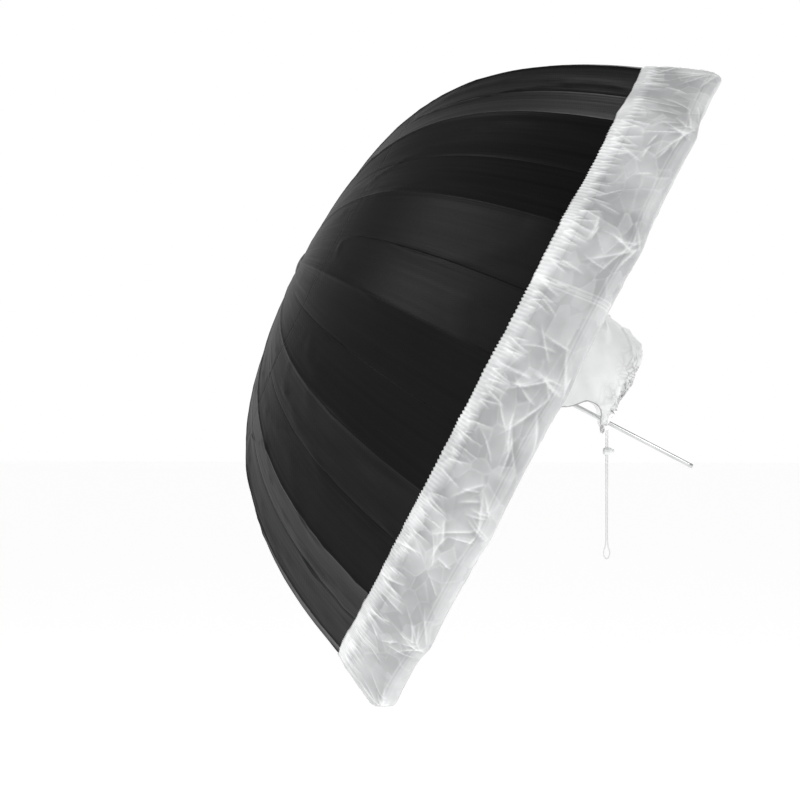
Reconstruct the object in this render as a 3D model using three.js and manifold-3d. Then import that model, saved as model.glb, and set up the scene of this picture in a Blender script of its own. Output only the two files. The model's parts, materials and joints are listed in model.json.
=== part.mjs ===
// Deep parabolic umbrella reflector with a fitted diffuser cover.
//
// Millimetres, +Z up. The origin is the point on the shaft where a stand bracket clamps it. The umbrella
// is built with its shaft along the local X axis (free end at +X, crown at -X) and is then pitched by
// PITCH about Y, the way it hangs on a stand. The draw-cord hangs plumb, so it is built after that turn.
import * as THREE from "three";
import { mergeVertices } from "three/addons/utils/BufferGeometryUtils.js";
import Module from "manifold-3d";

const wasm = await Module();
wasm.setup();

// ---- driving dimensions -------------------------------------------------------------------------
const PITCH = THREE.MathUtils.degToRad(27.5); // the shaft points this far below the level
const RIB_COUNT = 16;
const RIM_RADIUS = 645; // canopy edge, at a rib tip
const BOWL_DEPTH = 521; // from the face plane back to the apex of the fabric
const CLAMP_TO_FACE = 68; // the bracket holds the shaft this far in front of the face plane
const SHAFT_RADIUS = 4;
const SHAFT_WALL = 0.8;
const SHAFT_BEYOND_FACE = 281; // shaft that sticks out past the face plane
const FABRIC = 1.2; // plain thickness of every fabric solid
const GAP = 0.35; // clearance between pieces that touch
const GORE_SAG = 0.027; // how far a gore pulls in between two ribs, as a share of the radius
const RIM_SCALLOP = 13; // how far the face edge pulls back between two rib tips
const HEM_SETBACK = 121; // the elastic hem lies this far behind the face plane

const RIB_RADIUS = 1.6;
const RIB_INSET = 4.8; // rod centre below the outside of the fabric
const CROWN_PIVOT_RADIUS = 16;
const RIB_SPLIT = 0.45; // share of the profile curve at which the stretcher takes hold
const STRETCHER_RADIUS = 1.4;
const STRETCHER_LENGTH = 375;
const STRETCHER_DROP = 6.5; // stretcher pivot below the rib pivot
const RUNNER_PIVOT_RADIUS = 13;

const HOOD_CENTRE = 75; // the hood ring sits above the shaft, where the lamp head is
const HOOD_RING_RADIUS = 105;
const HOOD_DEPTH = 112; // from the face plane to the drawn mouth
const CORD_RADIUS = 1.2;
const CORD_DROP = 240; // the doubled draw-cord hangs this far below the mouth

const FACE_X = -CLAMP_TO_FACE;
const APEX_X = FACE_X - BOWL_DEPTH;
const GORE_ANGLE = (2 * Math.PI) / RIB_COUNT;
const AROUND = RIB_COUNT * 4;

// ---- finishes -----------------------------------------------------------------------------------
const finish = (color, roughness, metalness) => new THREE.MeshStandardMaterial({ color, roughness, metalness });
const finishes = {
  chrome: finish(0xd8dadc, 0.2, 1.0),
  blackPlastic: finish(0x18181a, 0.45, 0.0),
  blackPaint: finish(0x202022, 0.4, 0.6),
  fibreglass: finish(0x141416, 0.35, 0.0),
  blackFabric: finish(0x1e1e20, 0.75, 0.0),
  whiteFabric: finish(0xe2e3e4, 0.85, 0.0),
  greyPlastic: finish(0xd6d8d8, 0.5, 0.0),
};

// ---- helpers ------------------------------------------------------------------------------------
function toSolid(geometry) {
  const bare = geometry.clone();
  bare.deleteAttribute("normal");
  bare.deleteAttribute("uv");
  const merged = mergeVertices(bare, 1e-4);
  const vertProperties = new Float32Array(merged.attributes.position.array);
  const triVerts = new Uint32Array(merged.index.array);
  return new wasm.Manifold(new wasm.Mesh({ numProp: 3, vertProperties, triVerts }));
}

function toGeometry(solid) {
  const mesh = solid.getMesh();
  const geometry = new THREE.BufferGeometry();
  geometry.setAttribute("position", new THREE.BufferAttribute(new Float32Array(mesh.vertProperties), 3));
  geometry.setIndex(new THREE.BufferAttribute(new Uint32Array(mesh.triVerts), 1));
  geometry.computeVertexNormals();
  return geometry;
}

/** Revolves a list of [x, radius] points about the X axis, with its faces pointing out. */
function turned(points, segments) {
  const outline = points.map(([x, radius]) => new THREE.Vector2(radius, x));
  if (THREE.ShapeUtils.area(outline) < 0) outline.reverse();
  return new THREE.LatheGeometry(outline, segments).rotateZ(-Math.PI / 2).rotateX(Math.PI / 2);
}

function box(x0, x1, y0, y1, z0, z1) {
  return new THREE.BoxGeometry(x1 - x0, y1 - y0, z1 - z0).translate((x0 + x1) / 2, (y0 + y1) / 2, (z0 + z1) / 2);
}

/** A round pin along Y through the point (x, z). */
function pinAcross(x, z, radius, halfWidth, sides = 10) {
  return new THREE.CylinderGeometry(radius, radius, 2 * halfWidth, sides).translate(x, 0, z);
}

function union(...geometries) {
  return geometries.map(toSolid).reduce((whole, piece) => whole.add(piece));
}

function roundShape(radius, sides) {
  const shape = new THREE.Shape();
  for (let i = 0; i < sides; i += 1) {
    const angle = (2 * Math.PI * (i + 0.5)) / sides;
    const corner = [radius * Math.cos(angle), radius * Math.sin(angle)];
    if (i === 0) shape.moveTo(...corner);
    else shape.lineTo(...corner);
  }
  shape.closePath();
  return shape;
}

function rod(path, radius, steps, sides) {
  return new THREE.ExtrudeGeometry(roundShape(radius, sides), { extrudePath: path, steps, bevelEnabled: false });
}

// ---- the bowl -----------------------------------------------------------------------------------
// Handles of the profile curve: how far along from the apex, and how far out from the shaft.
const CROWN_HANDLE = [29, 306];
const WALL_HANDLE = [50, 515];

const bowlCurve = new THREE.CubicBezierCurve(
  new THREE.Vector2(APEX_X, 0),
  new THREE.Vector2(APEX_X + CROWN_HANDLE[0], CROWN_HANDLE[1]),
  new THREE.Vector2(APEX_X + WALL_HANDLE[0], WALL_HANDLE[1]),
  new THREE.Vector2(FACE_X, RIM_RADIUS),
);

/** A point on the bowl's profile at share u of the curve, moved inward by depth along its normal. */
function bowlPoint(u, depth = 0) {
  const point = bowlCurve.getPoint(u);
  const tangent = bowlCurve.getTangent(u);
  return new THREE.Vector2(point.x + depth * tangent.y, point.y - depth * tangent.x);
}

/** 0 on a rib and 1 halfway between two ribs. */
function goreSag(y, z) {
  const turn = Math.atan2(-y, z) / GORE_ANGLE;
  const part = turn - Math.floor(turn + 1e-9);
  return 4 * part * (1 - part);
}

/** Pulls a revolved sheet in between the ribs; pullBack(x, radius) is how far its points move along X. */
function tension(geometry, pullBack = () => 0) {
  const position = geometry.attributes.position;
  for (let i = 0; i < position.count; i += 1) {
    const [x, y, z] = [position.getX(i), position.getY(i), position.getZ(i)];
    const sag = goreSag(y, z);
    const shrink = 1 - GORE_SAG * sag;
    position.setXYZ(i, x - sag * pullBack(x, Math.hypot(y, z)), y * shrink, z * shrink);
  }
  return geometry;
}

const CANOPY = { start: 0.02, end: 0.985, steps: 12 }; // shares of the profile curve, from the crown to the rib tips

function makeCanopy() {
  const outside = [];
  const inside = [];
  for (let i = 0; i <= CANOPY.steps; i += 1) {
    const u = CANOPY.start + ((CANOPY.end - CANOPY.start) * i) / CANOPY.steps;
    outside.push(bowlPoint(u).toArray());
    inside.unshift(bowlPoint(u, FABRIC).toArray());
  }
  const loop = [...outside, ...inside, outside[0]];
  return tension(turned(loop, AROUND));
}

// ---- the frame ----------------------------------------------------------------------------------
const crownPivot = new THREE.Vector2(APEX_X + 8, CROWN_PIVOT_RADIUS);
const ribPivot = bowlPoint(RIB_SPLIT, RIB_INSET);
const ribTangent = bowlCurve.getTangent(RIB_SPLIT);
const towardShaft = new THREE.Vector2(ribTangent.y, -ribTangent.x);
const stretcherPivot = ribPivot.clone().addScaledVector(towardShaft, STRETCHER_DROP);
const stretcherRise = stretcherPivot.y - RUNNER_PIVOT_RADIUS;
const runnerPivotX = stretcherPivot.x + Math.sqrt(STRETCHER_LENGTH ** 2 - stretcherRise ** 2);
const runnerPivot = new THREE.Vector2(runnerPivotX, RUNNER_PIVOT_RADIUS);

const SLOT_PLAY = 0.35; // room each side of a rod in its slot
const RIB_START = 0.08; // the rod meets the bowl's curve at this share of it
const ROD_SIDES = 6;
const TIP_SHARE = CANOPY.end; // the tip cap starts where the canopy ends
const TIP_END_SHARE = 0.996;
const TIP_RADIUS = 2.6;

const inPlane = (point) => new THREE.Vector3(point.x, 0, point.y);

/** The rod's centre line between two shares of the bowl's profile. */
function ribLine(from, to, count) {
  const points = [];
  for (let i = 0; i <= count; i += 1) points.push(inPlane(bowlPoint(from + ((to - from) * i) / count, RIB_INSET)));
  return points;
}

const PIVOT_EYE = 0.8; // how much wider than its rod a rib's crown eye is
const STRETCHER_EYE = 0.5;
const CLIP = { inside: RIB_RADIUS + 0.4, cheek: 1, back: -11, front: 3.2, bridge: -3, below: 9, above: 1.6 };

/** The joint clip: two cheeks beside the pivots, bridged around the end of the inner rod. */
function ribClip() {
  const angle = Math.atan2(ribTangent.y, ribTangent.x);
  const place = (geometry) => geometry.rotateY(-angle).translate(ribPivot.x, 0, ribPivot.y);
  const outer = CLIP.inside + CLIP.cheek;
  const near = place(box(CLIP.back, CLIP.front, -outer, -CLIP.inside, -CLIP.below, CLIP.above));
  const far = place(box(CLIP.back, CLIP.front, CLIP.inside, outer, -CLIP.below, CLIP.above));
  const bridge = place(box(CLIP.back, CLIP.bridge, -outer, outer, -CLIP.above, CLIP.above));
  return union(near, far, bridge);
}

function makeRibInner() {
  const line = [inPlane(crownPivot), ...ribLine(RIB_START, RIB_SPLIT, 6)];
  const end = line.at(-1);
  end.x += CLIP.bridge * ribTangent.x - ribTangent.x;
  end.z += CLIP.bridge * ribTangent.y - ribTangent.y;
  const bar = rod(new THREE.CatmullRomCurve3(line), RIB_RADIUS, 7, ROD_SIDES);
  const eye = pinAcross(crownPivot.x, crownPivot.y, RIB_RADIUS + PIVOT_EYE, RIB_RADIUS);
  return toGeometry(union(bar, eye).add(ribClip()));
}

function makeRibOuter() {
  const line = ribLine(RIB_SPLIT, TIP_END_SHARE, 8);
  line[0].add(inPlane(ribTangent).multiplyScalar(RIB_RADIUS));
  const bar = rod(new THREE.CatmullRomCurve3(line), RIB_RADIUS, 8, ROD_SIDES);
  const cap = rod(new THREE.CatmullRomCurve3(ribLine(TIP_SHARE, TIP_END_SHARE, 2)), TIP_RADIUS, 2, ROD_SIDES);
  return toGeometry(union(bar, cap));
}

function makeStretcher() {
  const path = new THREE.LineCurve3(inPlane(stretcherPivot), inPlane(runnerPivot));
  const bar = rod(path, STRETCHER_RADIUS, 1, ROD_SIDES);
  const upper = pinAcross(stretcherPivot.x, stretcherPivot.y, STRETCHER_RADIUS + STRETCHER_EYE, STRETCHER_RADIUS);
  const lower = pinAcross(runnerPivot.x, runnerPivot.y, STRETCHER_RADIUS + STRETCHER_EYE, STRETCHER_RADIUS);
  return toGeometry(union(bar, upper, lower));
}

/** Cuts one radial slot per rib through a turned piece, between x0 and x1 and outside floor. */
function slotted(solid, x0, x1, floor, halfWidth) {
  const past = floor + 30; // well outside the piece
  let cut = solid;
  for (let i = 0; i < RIB_COUNT; i += 1) {
    const slot = box(x0, x1, -halfWidth, halfWidth, floor, past).rotateX(i * GORE_ANGLE);
    cut = cut.subtract(toSolid(slot));
  }
  return cut;
}

const SHAFT_START = APEX_X + 7;
const SHAFT_END = FACE_X + SHAFT_BEYOND_FACE;
const BORE = SHAFT_RADIUS + GAP;

function makeShaft() {
  const inner = SHAFT_RADIUS - SHAFT_WALL;
  const loop = [[SHAFT_START, inner], [SHAFT_END, inner], [SHAFT_END, SHAFT_RADIUS], [SHAFT_START, SHAFT_RADIUS]];
  return turned([...loop, loop[0]], 24);
}

const END_CAP = { spigot: 10, head: 5, proud: 0.4, bevel: [1.5, 1.2] };

/** A turned plug: a spigot inside the tube's mouth and a domed head with a flat end. */
function makeShaftEndCap() {
  const spigot = SHAFT_RADIUS - SHAFT_WALL - GAP;
  const seat = SHAFT_END + GAP;
  const radius = SHAFT_RADIUS + END_CAP.proud;
  const shoulder = seat + END_CAP.head;
  const end = shoulder + END_CAP.bevel[0];
  return turned([[SHAFT_END - END_CAP.spigot, 0], [SHAFT_END - END_CAP.spigot, spigot], [seat, spigot], [seat, radius],
    [shoulder, radius], [end, radius - END_CAP.bevel[1]], [end, 0]], 24);
}

// Distances from the apex, and radii: a slotted flange for the ribs' eyes with a neck in front of it.
const CROWN = { back: 3.6, face: 14, nose: 32, flange: 20, bevel: 1.5, neck: 9.5, web: 1.2, slotDepth: 3.1 };

function makeCrown() {
  const [back, face, nose] = [CROWN.back, CROWN.face, CROWN.nose].map((x) => APEX_X + x);
  const outline = [[back, 0], [back, CROWN.flange - CROWN.bevel], [back + CROWN.bevel, CROWN.flange],
    [face, CROWN.flange], [face, CROWN.neck], [nose, CROWN.neck], [nose, BORE],
    [SHAFT_START - GAP, BORE], [SHAFT_START - GAP, 0]];
  const body = toSolid(turned(outline, 32));
  const floor = CROWN_PIVOT_RADIUS - CROWN.slotDepth;
  return toGeometry(slotted(body, back + CROWN.web, face + 1, floor, RIB_RADIUS + SLOT_PLAY));
}

// Outline of the cap as [distance from the apex, radius]: a shallow dome, its underside and its spigot.
const CROWN_CAP = [[-5, 0], [-4.4, 10], [-2.6, 18], [0.2, 25], [1.2, 25], [1.2, 8], [3.2, 8], [3.2, 0]];

function makeCrownCap() {
  return turned(CROWN_CAP.map(([x, radius]) => [APEX_X + x, radius]), 40);
}

const RUNNER = {
  sleeve: 9, flange: 17, halfFlange: 5, lead: 2, length: 38, collar: 11, collarWidth: 3.5, bevel: 1.5,
  slotLength: 14, slotFloor: 10.8, buttonX: 17, buttonRadius: 3,
};

function makeRunner() {
  const flangeEnds = [runnerPivotX - RUNNER.halfFlange, runnerPivotX + RUNNER.halfFlange];
  const start = flangeEnds[0] - RUNNER.lead;
  const end = start + RUNNER.length;
  const collar = end - RUNNER.collarWidth;
  const outline = [[start, BORE], [start, RUNNER.sleeve], [flangeEnds[0], RUNNER.sleeve],
    [flangeEnds[0], RUNNER.flange], [flangeEnds[1], RUNNER.flange], [flangeEnds[1], RUNNER.sleeve],
    [collar - RUNNER.bevel, RUNNER.sleeve], [collar, RUNNER.collar], [end, RUNNER.collar], [end, BORE],
    [start, BORE]];
  const body = toSolid(turned(outline, 32));
  const x = runnerPivotX + RUNNER.buttonX;
  const well = new THREE.CylinderGeometry(RUNNER.buttonRadius + GAP, RUNNER.buttonRadius + GAP, 20, 20);
  const drilled = body.subtract(toSolid(well.rotateX(Math.PI / 2).translate(x, 0, SHAFT_RADIUS + 10)));
  const slotEnd = start + RUNNER.slotLength;
  return toGeometry(slotted(drilled, start - 1, slotEnd, RUNNER.slotFloor, STRETCHER_RADIUS + SLOT_PLAY));
}

const BUTTON = { inner: 5.7, shoulder: 10.6, top: 11.4, topRadius: 2.2 }; // heights above the shaft's centre line

function makeRunnerButton() {
  const outline = [[BUTTON.inner, 0], [BUTTON.inner, RUNNER.buttonRadius], [BUTTON.shoulder, RUNNER.buttonRadius],
    [BUTTON.top, BUTTON.topRadius], [BUTTON.top, 0]];
  return turned(outline, 20).rotateY(-Math.PI / 2).translate(runnerPivotX + RUNNER.buttonX, 0, 0);
}

// ---- the diffuser cover -------------------------------------------------------------------------
const COVER_LIFT = 2; // the cover's inside stands this far off the canopy
const FACE_RINGS = [200, 350, 500]; // radii of the rings that the face is divided into
const HEM_BEAD = [[-3, 1], [-4, 3.2], [-2, 5]]; // the elastic's section, from where the canopy passes the hem

/** The share of the bowl's profile at which the curve passes x. */
function shareAtX(x) {
  let [low, high] = [0, 1];
  for (let i = 0; i < 40; i += 1) {
    const middle = (low + high) / 2;
    if (bowlCurve.getPoint(middle).x < x) low = middle;
    else high = middle;
  }
  return low;
}

function makeCover() {
  const steps = 5;
  const hemShare = shareAtX(FACE_X - HEM_SETBACK);
  const outside = [];
  const inside = [];
  for (let i = 0; i <= steps; i += 1) {
    const u = hemShare + ((1 - hemShare) * i) / steps;
    outside.unshift(bowlPoint(u, -COVER_LIFT - FABRIC).toArray());
    inside.push(bowlPoint(u, -COVER_LIFT).toArray());
  }
  const edge = inside.at(-1);
  edge[0] = FACE_X - FABRIC;
  outside[0][0] = FACE_X;
  const hem = bowlPoint(hemShare);
  const bead = HEM_BEAD.map(([x, radius]) => [hem.x + x, hem.y + radius]);
  const back = FACE_RINGS.map((radius) => [FACE_X - FABRIC, radius]);
  const front = FACE_RINGS.map((radius) => [FACE_X, radius]).reverse();
  const loop = [[FACE_X - FABRIC, 0], ...back, ...inside.reverse(), ...bead, ...outside.reverse(), ...front,
    [FACE_X, 0]];
  const hemX = FACE_X - HEM_SETBACK;
  const pullBack = (x, radius) => {
    const fromHem = THREE.MathUtils.clamp((x - hemX) / HEM_SETBACK, 0, 1);
    const fromRing = (radius - FACE_RINGS[0]) / (RIM_RADIUS - FACE_RINGS[0]);
    return RIM_SCALLOP * fromHem * THREE.MathUtils.clamp(fromRing, 0, 1);
  };
  const sheet = toSolid(tension(turned(loop, AROUND), pullBack));
  const opening = new THREE.CylinderGeometry(HOOD_RING_RADIUS, HOOD_RING_RADIUS, 60, 48).rotateZ(Math.PI / 2);
  return toGeometry(sheet.subtract(toSolid(opening.translate(FACE_X, 0, HOOD_CENTRE))));
}

// Stations of the hood: distance in front of the face plane, and its top and bottom edge above the shaft.
const HOOD_STATIONS = [
  [-1.2, 180, -30], [20, 172, -29], [54, 168, -27], [88, 157, -24], [106, 142, -20],
  [111, 108, -17], [107, 74, -15], [110, 40, -12], [HOOD_DEPTH, 9, -9],
];
const MOUTH_RADIUS = SHAFT_RADIUS + 2;
const HOOD_SIDES = 32;

/** The closed outer form of the hood, drawn in by inset on every side and pushed back by the same. */
function hoodForm(inset) {
  const rings = HOOD_STATIONS.map(([x, top, bottom]) => [x - inset, (top - bottom) / 2 - inset]);
  const centres = HOOD_STATIONS.map(([, top, bottom]) => (top + bottom) / 2);
  const stations = [[rings[0][0], 0], ...rings, [rings.at(-1)[0], 0]];
  const shift = [centres[0], ...centres, centres.at(-1)];
  const form = turned(stations.map(([x, radius]) => [FACE_X + x, radius]), HOOD_SIDES);
  const position = form.attributes.position;
  for (let i = 0; i < position.count; i += 1) position.setZ(i, position.getZ(i) + shift[i % stations.length]);
  return form;
}

const SLOT = { centre: 64, top: 18, halfLength: 34, drop: 44 }; // the arch that a stand bracket comes in by

const THROUGH = 400; // long enough to cut right across the hood
const HOOD_WALL = FABRIC + 0.2;

function makeHood() {
  const arch = new THREE.CylinderGeometry(1, 1, THROUGH, 32).scale(SLOT.halfLength, 1, SLOT.drop);
  arch.translate(FACE_X + SLOT.centre, 0, SLOT.top - SLOT.drop);
  const mouth = new THREE.CylinderGeometry(MOUTH_RADIUS, MOUTH_RADIUS, 80, 24).rotateZ(Math.PI / 2);
  mouth.translate(FACE_X + HOOD_DEPTH, 0, 0);
  const hollow = toSolid(hoodForm(HOOD_WALL)).add(toSolid(hoodForm(HOOD_WALL).translate(-3, 0, 0)));
  const shell = toSolid(hoodForm(GAP)).subtract(hollow);
  return toGeometry(shell.subtract(toSolid(arch)).subtract(toSolid(mouth)));
}

// ---- the draw-cord, built plumb -----------------------------------------------------------------
/** A point given along and above the pitched shaft, in the upright frame. */
const pitched = (x, z) => new THREE.Vector3(x, 0, z).applyAxisAngle(new THREE.Vector3(0, 1, 0), PITCH);
const CORD_START = { ahead: 5, below: 9.5 }; // from the middle of the hood's mouth
const cordTop = pitched(FACE_X + HOOD_DEPTH + CORD_START.ahead, -CORD_START.below);
const STRAND = 1.6; // half the distance between the two strands
const LOOP = 5.5; // half the width of the loop at the bottom
const TOGGLE_DROP = 43;
// One strand, as [distance from the middle, drop]: straight, then opening into the loop.
const STRAND_PATH = [[STRAND, 0], [STRAND, 60], [STRAND, 130], [STRAND, 195], [STRAND + 0.6, 215], [LOOP, 228]];

function makeDrawcord() {
  const strand = (side) => STRAND_PATH.map(([x, drop]) => new THREE.Vector3(cordTop.x + side * x, 0, cordTop.z - drop));
  const [down, up] = [strand(-1), strand(1).reverse()];
  const bottom = new THREE.Vector3(cordTop.x, 0, cordTop.z - CORD_DROP);
  const path = new THREE.CatmullRomCurve3([...down, bottom, ...up]);
  return rod(path, CORD_RADIUS, 56, 8);
}

const TOGGLE = {
  back: -7, front: 9, radius: 7, backRound: 2.5, frontRound: [2, 1.5], wellRadius: 4.3, wellFloor: 5,
  passage: [CORD_RADIUS + 0.5, CORD_RADIUS + 0.7], // clear of a strand to each side, and fore and aft
};

function makeToggle() {
  const { back, front, radius, backRound, frontRound } = TOGGLE;
  const outline = [[back, 0], [back, radius - backRound], [back + backRound, radius], [front - frontRound[0], radius],
    [front, radius - frontRound[1]], [front, TOGGLE.wellRadius], [TOGGLE.wellFloor, TOGGLE.wellRadius],
    [TOGGLE.wellFloor, 0]];
  const body = toSolid(turned(outline, 24));
  const halfWidth = STRAND + TOGGLE.passage[0];
  const passage = box(-halfWidth, halfWidth, -TOGGLE.passage[1], TOGGLE.passage[1], -2 * radius, 2 * radius);
  return toGeometry(body.subtract(toSolid(passage))).translate(cordTop.x, 0, cordTop.z - TOGGLE_DROP);
}

const TOGGLE_BUTTON = { travel: 2.4, proud: 4.5, radius: 4, bevel: 1 };

function makeToggleButton() {
  const { radius, bevel } = TOGGLE_BUTTON;
  const seat = TOGGLE.wellFloor + TOGGLE_BUTTON.travel;
  const reach = TOGGLE.front + TOGGLE_BUTTON.proud;
  const outline = [[seat, 0], [seat, radius], [reach - bevel, radius], [reach, radius - bevel], [reach, 0]];
  return turned(outline, 20).translate(cordTop.x, 0, cordTop.z - TOGGLE_DROP);
}

// ---- assembly -----------------------------------------------------------------------------------
function named(name, geometry, material) {
  const mesh = new THREE.Mesh(geometry, material);
  mesh.name = name;
  return mesh;
}

const pitchedGroup = new THREE.Group();
pitchedGroup.rotation.y = PITCH;
pitchedGroup.add(
  named("shaft", makeShaft(), finishes.chrome),
  named("shaft_end_cap", makeShaftEndCap(), finishes.chrome),
  named("crown", makeCrown(), finishes.blackPlastic),
  named("crown_cap", makeCrownCap(), finishes.blackPlastic),
  named("runner", makeRunner(), finishes.blackPlastic),
  named("runner_button", makeRunnerButton(), finishes.chrome),
  named("canopy", makeCanopy(), finishes.blackFabric),
  named("cover", makeCover(), finishes.whiteFabric),
  named("cover_hood", makeHood(), finishes.whiteFabric),
);

const [ribInner, ribOuter, stretcher] = [makeRibInner(), makeRibOuter(), makeStretcher()];
for (let i = 0; i < RIB_COUNT; i += 1) {
  const number = String(i + 1).padStart(2, "0");
  const spoke = new THREE.Group();
  spoke.rotation.x = i * GORE_ANGLE;
  spoke.add(
    named(`rib_inner_${number}`, ribInner, finishes.fibreglass),
    named(`rib_outer_${number}`, ribOuter, finishes.fibreglass),
    named(`stretcher_${number}`, stretcher, finishes.blackPaint),
  );
  pitchedGroup.add(spoke);
}

const umbrella = new THREE.Group();
umbrella.add(
  pitchedGroup,
  named("drawcord", makeDrawcord(), finishes.whiteFabric),
  named("toggle", makeToggle(), finishes.greyPlastic),
  named("toggle_button", makeToggleButton(), finishes.greyPlastic),
);

export default umbrella;
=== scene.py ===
"""Looks of a deep parabolic umbrella reflector with its white diffuser cover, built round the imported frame.

Metres, in the row frame: +Z up, +Y away from the default camera. Most sub-assemblies are laid out in the
umbrella's own axes, with the shaft along X, and are then pitched about Y into the row frame.
"""

import json
import logging
import math
import random
from dataclasses import dataclass, field
from enum import Enum
from typing import Callable, Iterable, Sequence

import bmesh
import bpy
from mathutils import Matrix, Vector, noise


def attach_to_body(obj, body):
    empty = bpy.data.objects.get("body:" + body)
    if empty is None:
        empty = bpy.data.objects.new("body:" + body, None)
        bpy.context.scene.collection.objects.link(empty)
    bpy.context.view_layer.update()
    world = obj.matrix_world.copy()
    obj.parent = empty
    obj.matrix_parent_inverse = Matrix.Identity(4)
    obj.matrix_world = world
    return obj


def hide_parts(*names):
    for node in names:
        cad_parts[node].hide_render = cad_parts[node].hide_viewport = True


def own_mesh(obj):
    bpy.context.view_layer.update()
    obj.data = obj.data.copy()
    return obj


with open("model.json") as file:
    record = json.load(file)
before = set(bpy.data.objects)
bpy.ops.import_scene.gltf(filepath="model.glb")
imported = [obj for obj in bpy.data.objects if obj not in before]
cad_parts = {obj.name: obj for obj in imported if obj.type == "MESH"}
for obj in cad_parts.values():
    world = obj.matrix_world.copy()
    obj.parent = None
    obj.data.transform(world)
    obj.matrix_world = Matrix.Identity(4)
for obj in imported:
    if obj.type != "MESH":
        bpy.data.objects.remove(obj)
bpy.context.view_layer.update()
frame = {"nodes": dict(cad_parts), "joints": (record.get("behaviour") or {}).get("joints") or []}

LOG = logging.getLogger("umbrella")
RIB_COUNT = 16
GORE = 2 * math.pi / RIB_COUNT


# ---- layout ------------------------------------------------------------------------------------


def joint(name: str) -> dict:
    """Finds one joint of the frame.

    Args:
        name: The joint's name.

    Returns:
        The joint's record.
    """
    return next(entry for entry in frame["joints"] if entry["name"] == name)


SHAFT_WAY = Vector(joint("runner_slide")["axis"])
PITCH = math.atan2(-SHAFT_WAY.z, SHAFT_WAY.x)
TO_ROW = Matrix.Rotation(PITCH, 4, "Y")


def clamp(value: float, low: float = 0.0, high: float = 1.0) -> float:
    """Returns value held between low and high."""
    return max(low, min(high, value))


def smooth(value: float, start: float = 0.0, end: float = 1.0) -> float:
    """Returns 0 before start, 1 after end and an eased share between them."""
    share = clamp((value - start) / (end - start))
    return share * share * (3 - 2 * share)


def mix(a: float, b: float, share: float) -> float:
    """Returns the value at share of the way from a to b."""
    return a + (b - a) * share


def close_ends(share: float) -> float:
    """Returns a share with its steps drawn closer at both ends."""
    return share - 0.8 * math.sin(2 * math.pi * share) / (2 * math.pi)


def wheel(x: float, radius: float, angle: float) -> Vector:
    """A point around the shaft, in umbrella axes.

    Args:
        x: Distance along the shaft.
        radius: Distance from the shaft's centre line.
        angle: Turn from the top of the umbrella towards the camera's side.

    Returns:
        The point.
    """
    return Vector((x, -radius * math.sin(angle), radius * math.cos(angle)))


@dataclass(frozen=True)
class Bowl:
    """The parabolic form that ribs, canopy and cover share, in umbrella axes.

    Attributes:
        face_x: Where the face plane crosses the shaft.
        depth: From the face plane back to the apex.
        rim_radius: Radius of the canopy's edge at a rib tip.
        crown_handle: The curve's first handle, from the apex, as (along, out).
        wall_handle: The curve's second handle, from the apex, as (along, out).
        sag: How far a gore pulls in between two ribs, as a share of the radius.
        scallop: How far the face edge pulls back between two rib tips.
        setback: How far behind the face plane the elastic hem lies.
        hem_share: Share of the profile at the hem.
    """

    face_x: float = -0.068
    depth: float = 0.521
    rim_radius: float = 0.645
    crown_handle: tuple[float, float] = (0.029, 0.306)
    wall_handle: tuple[float, float] = (0.050, 0.515)
    sag: float = 0.027
    scallop: float = 0.005
    setback: float = 0.121
    hem_share: float = 0.906

    @property
    def apex_x(self) -> float:
        """Where the fabric crosses the shaft at the crown."""
        return self.face_x - self.depth

    def profile(self, share: float) -> Vector:
        """Returns the profile's (x, radius) at a share of its curve from apex to rim."""
        back = 1 - share
        first, second = 3 * back * back * share, 3 * back * share * share
        end = share**3
        x = first * self.crown_handle[0] + second * self.wall_handle[0] + end * self.depth
        radius = first * self.crown_handle[1] + second * self.wall_handle[1] + end * self.rim_radius
        return Vector((self.apex_x + x, radius))

    def outward(self, share: float) -> Vector:
        """Returns the profile's outward normal as (x, radius) at a share of its curve."""
        step = 1e-3
        tangent = self.profile(min(share + step, 1)) - self.profile(max(share - step, 0))
        return Vector((-tangent.y, tangent.x)).normalized()

    def share_at(self, x: float) -> float:
        """Returns the share of the curve at which the profile passes x."""
        low, high = 0.0, 1.0
        for _ in range(40):
            middle = (low + high) / 2
            low, high = (middle, high) if self.profile(middle).x < x else (low, middle)
        return low

    def point(self, share: float, angle: float, lift: float = 0.0) -> Vector:
        """A point on the tensioned fabric.

        Args:
            share: Share of the profile from apex to rim.
            angle: Turn from the top rib.
            lift: Distance off the fabric's outside, outward.

        Returns:
            The point, in umbrella axes.
        """
        place = self.profile(share) + self.outward(share) * lift
        pull = gore_sag(angle)
        x = place.x - self.scallop * smooth(pull) * smooth(share, self.hem_share, 1.0)
        return wheel(x, place.y * (1 - self.sag * pull), angle)


def gore_phase(angle: float) -> float:
    """Returns how far an angle lies between two ribs, from 0 on one to 1 on the next."""
    turn = angle / GORE
    return turn - math.floor(turn + 1e-9)


def gore_sag(angle: float) -> float:
    """Returns 0 on a rib and 1 halfway between two ribs."""
    part = gore_phase(angle)
    return 4 * part * (1 - part)


BOWL = Bowl()


# ---- mesh helpers ------------------------------------------------------------------------------


class Axes(Enum):
    """The axes that a piece is laid out in."""

    UMBRELLA = "umbrella"
    ROW = "row"


def finish_mesh(form: bmesh.types.BMesh, name: str, axes: Axes, rounded: bool = True) -> bpy.types.Object:
    """Turns a bmesh into a finished object at the origin.

    Args:
        form: The mesh, which is freed.
        name: The piece's name.
        axes: The axes that it was laid out in.
        rounded: Whether its faces shade as one smooth surface.

    Returns:
        The object, linked to the scene.
    """
    if axes is Axes.UMBRELLA:
        form.transform(TO_ROW)
    for face in form.faces:
        face.smooth = rounded
    mesh = bpy.data.meshes.new(name)
    form.to_mesh(mesh)
    form.free()
    piece = bpy.data.objects.new(name, mesh)
    bpy.context.scene.collection.objects.link(piece)
    return piece


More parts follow.
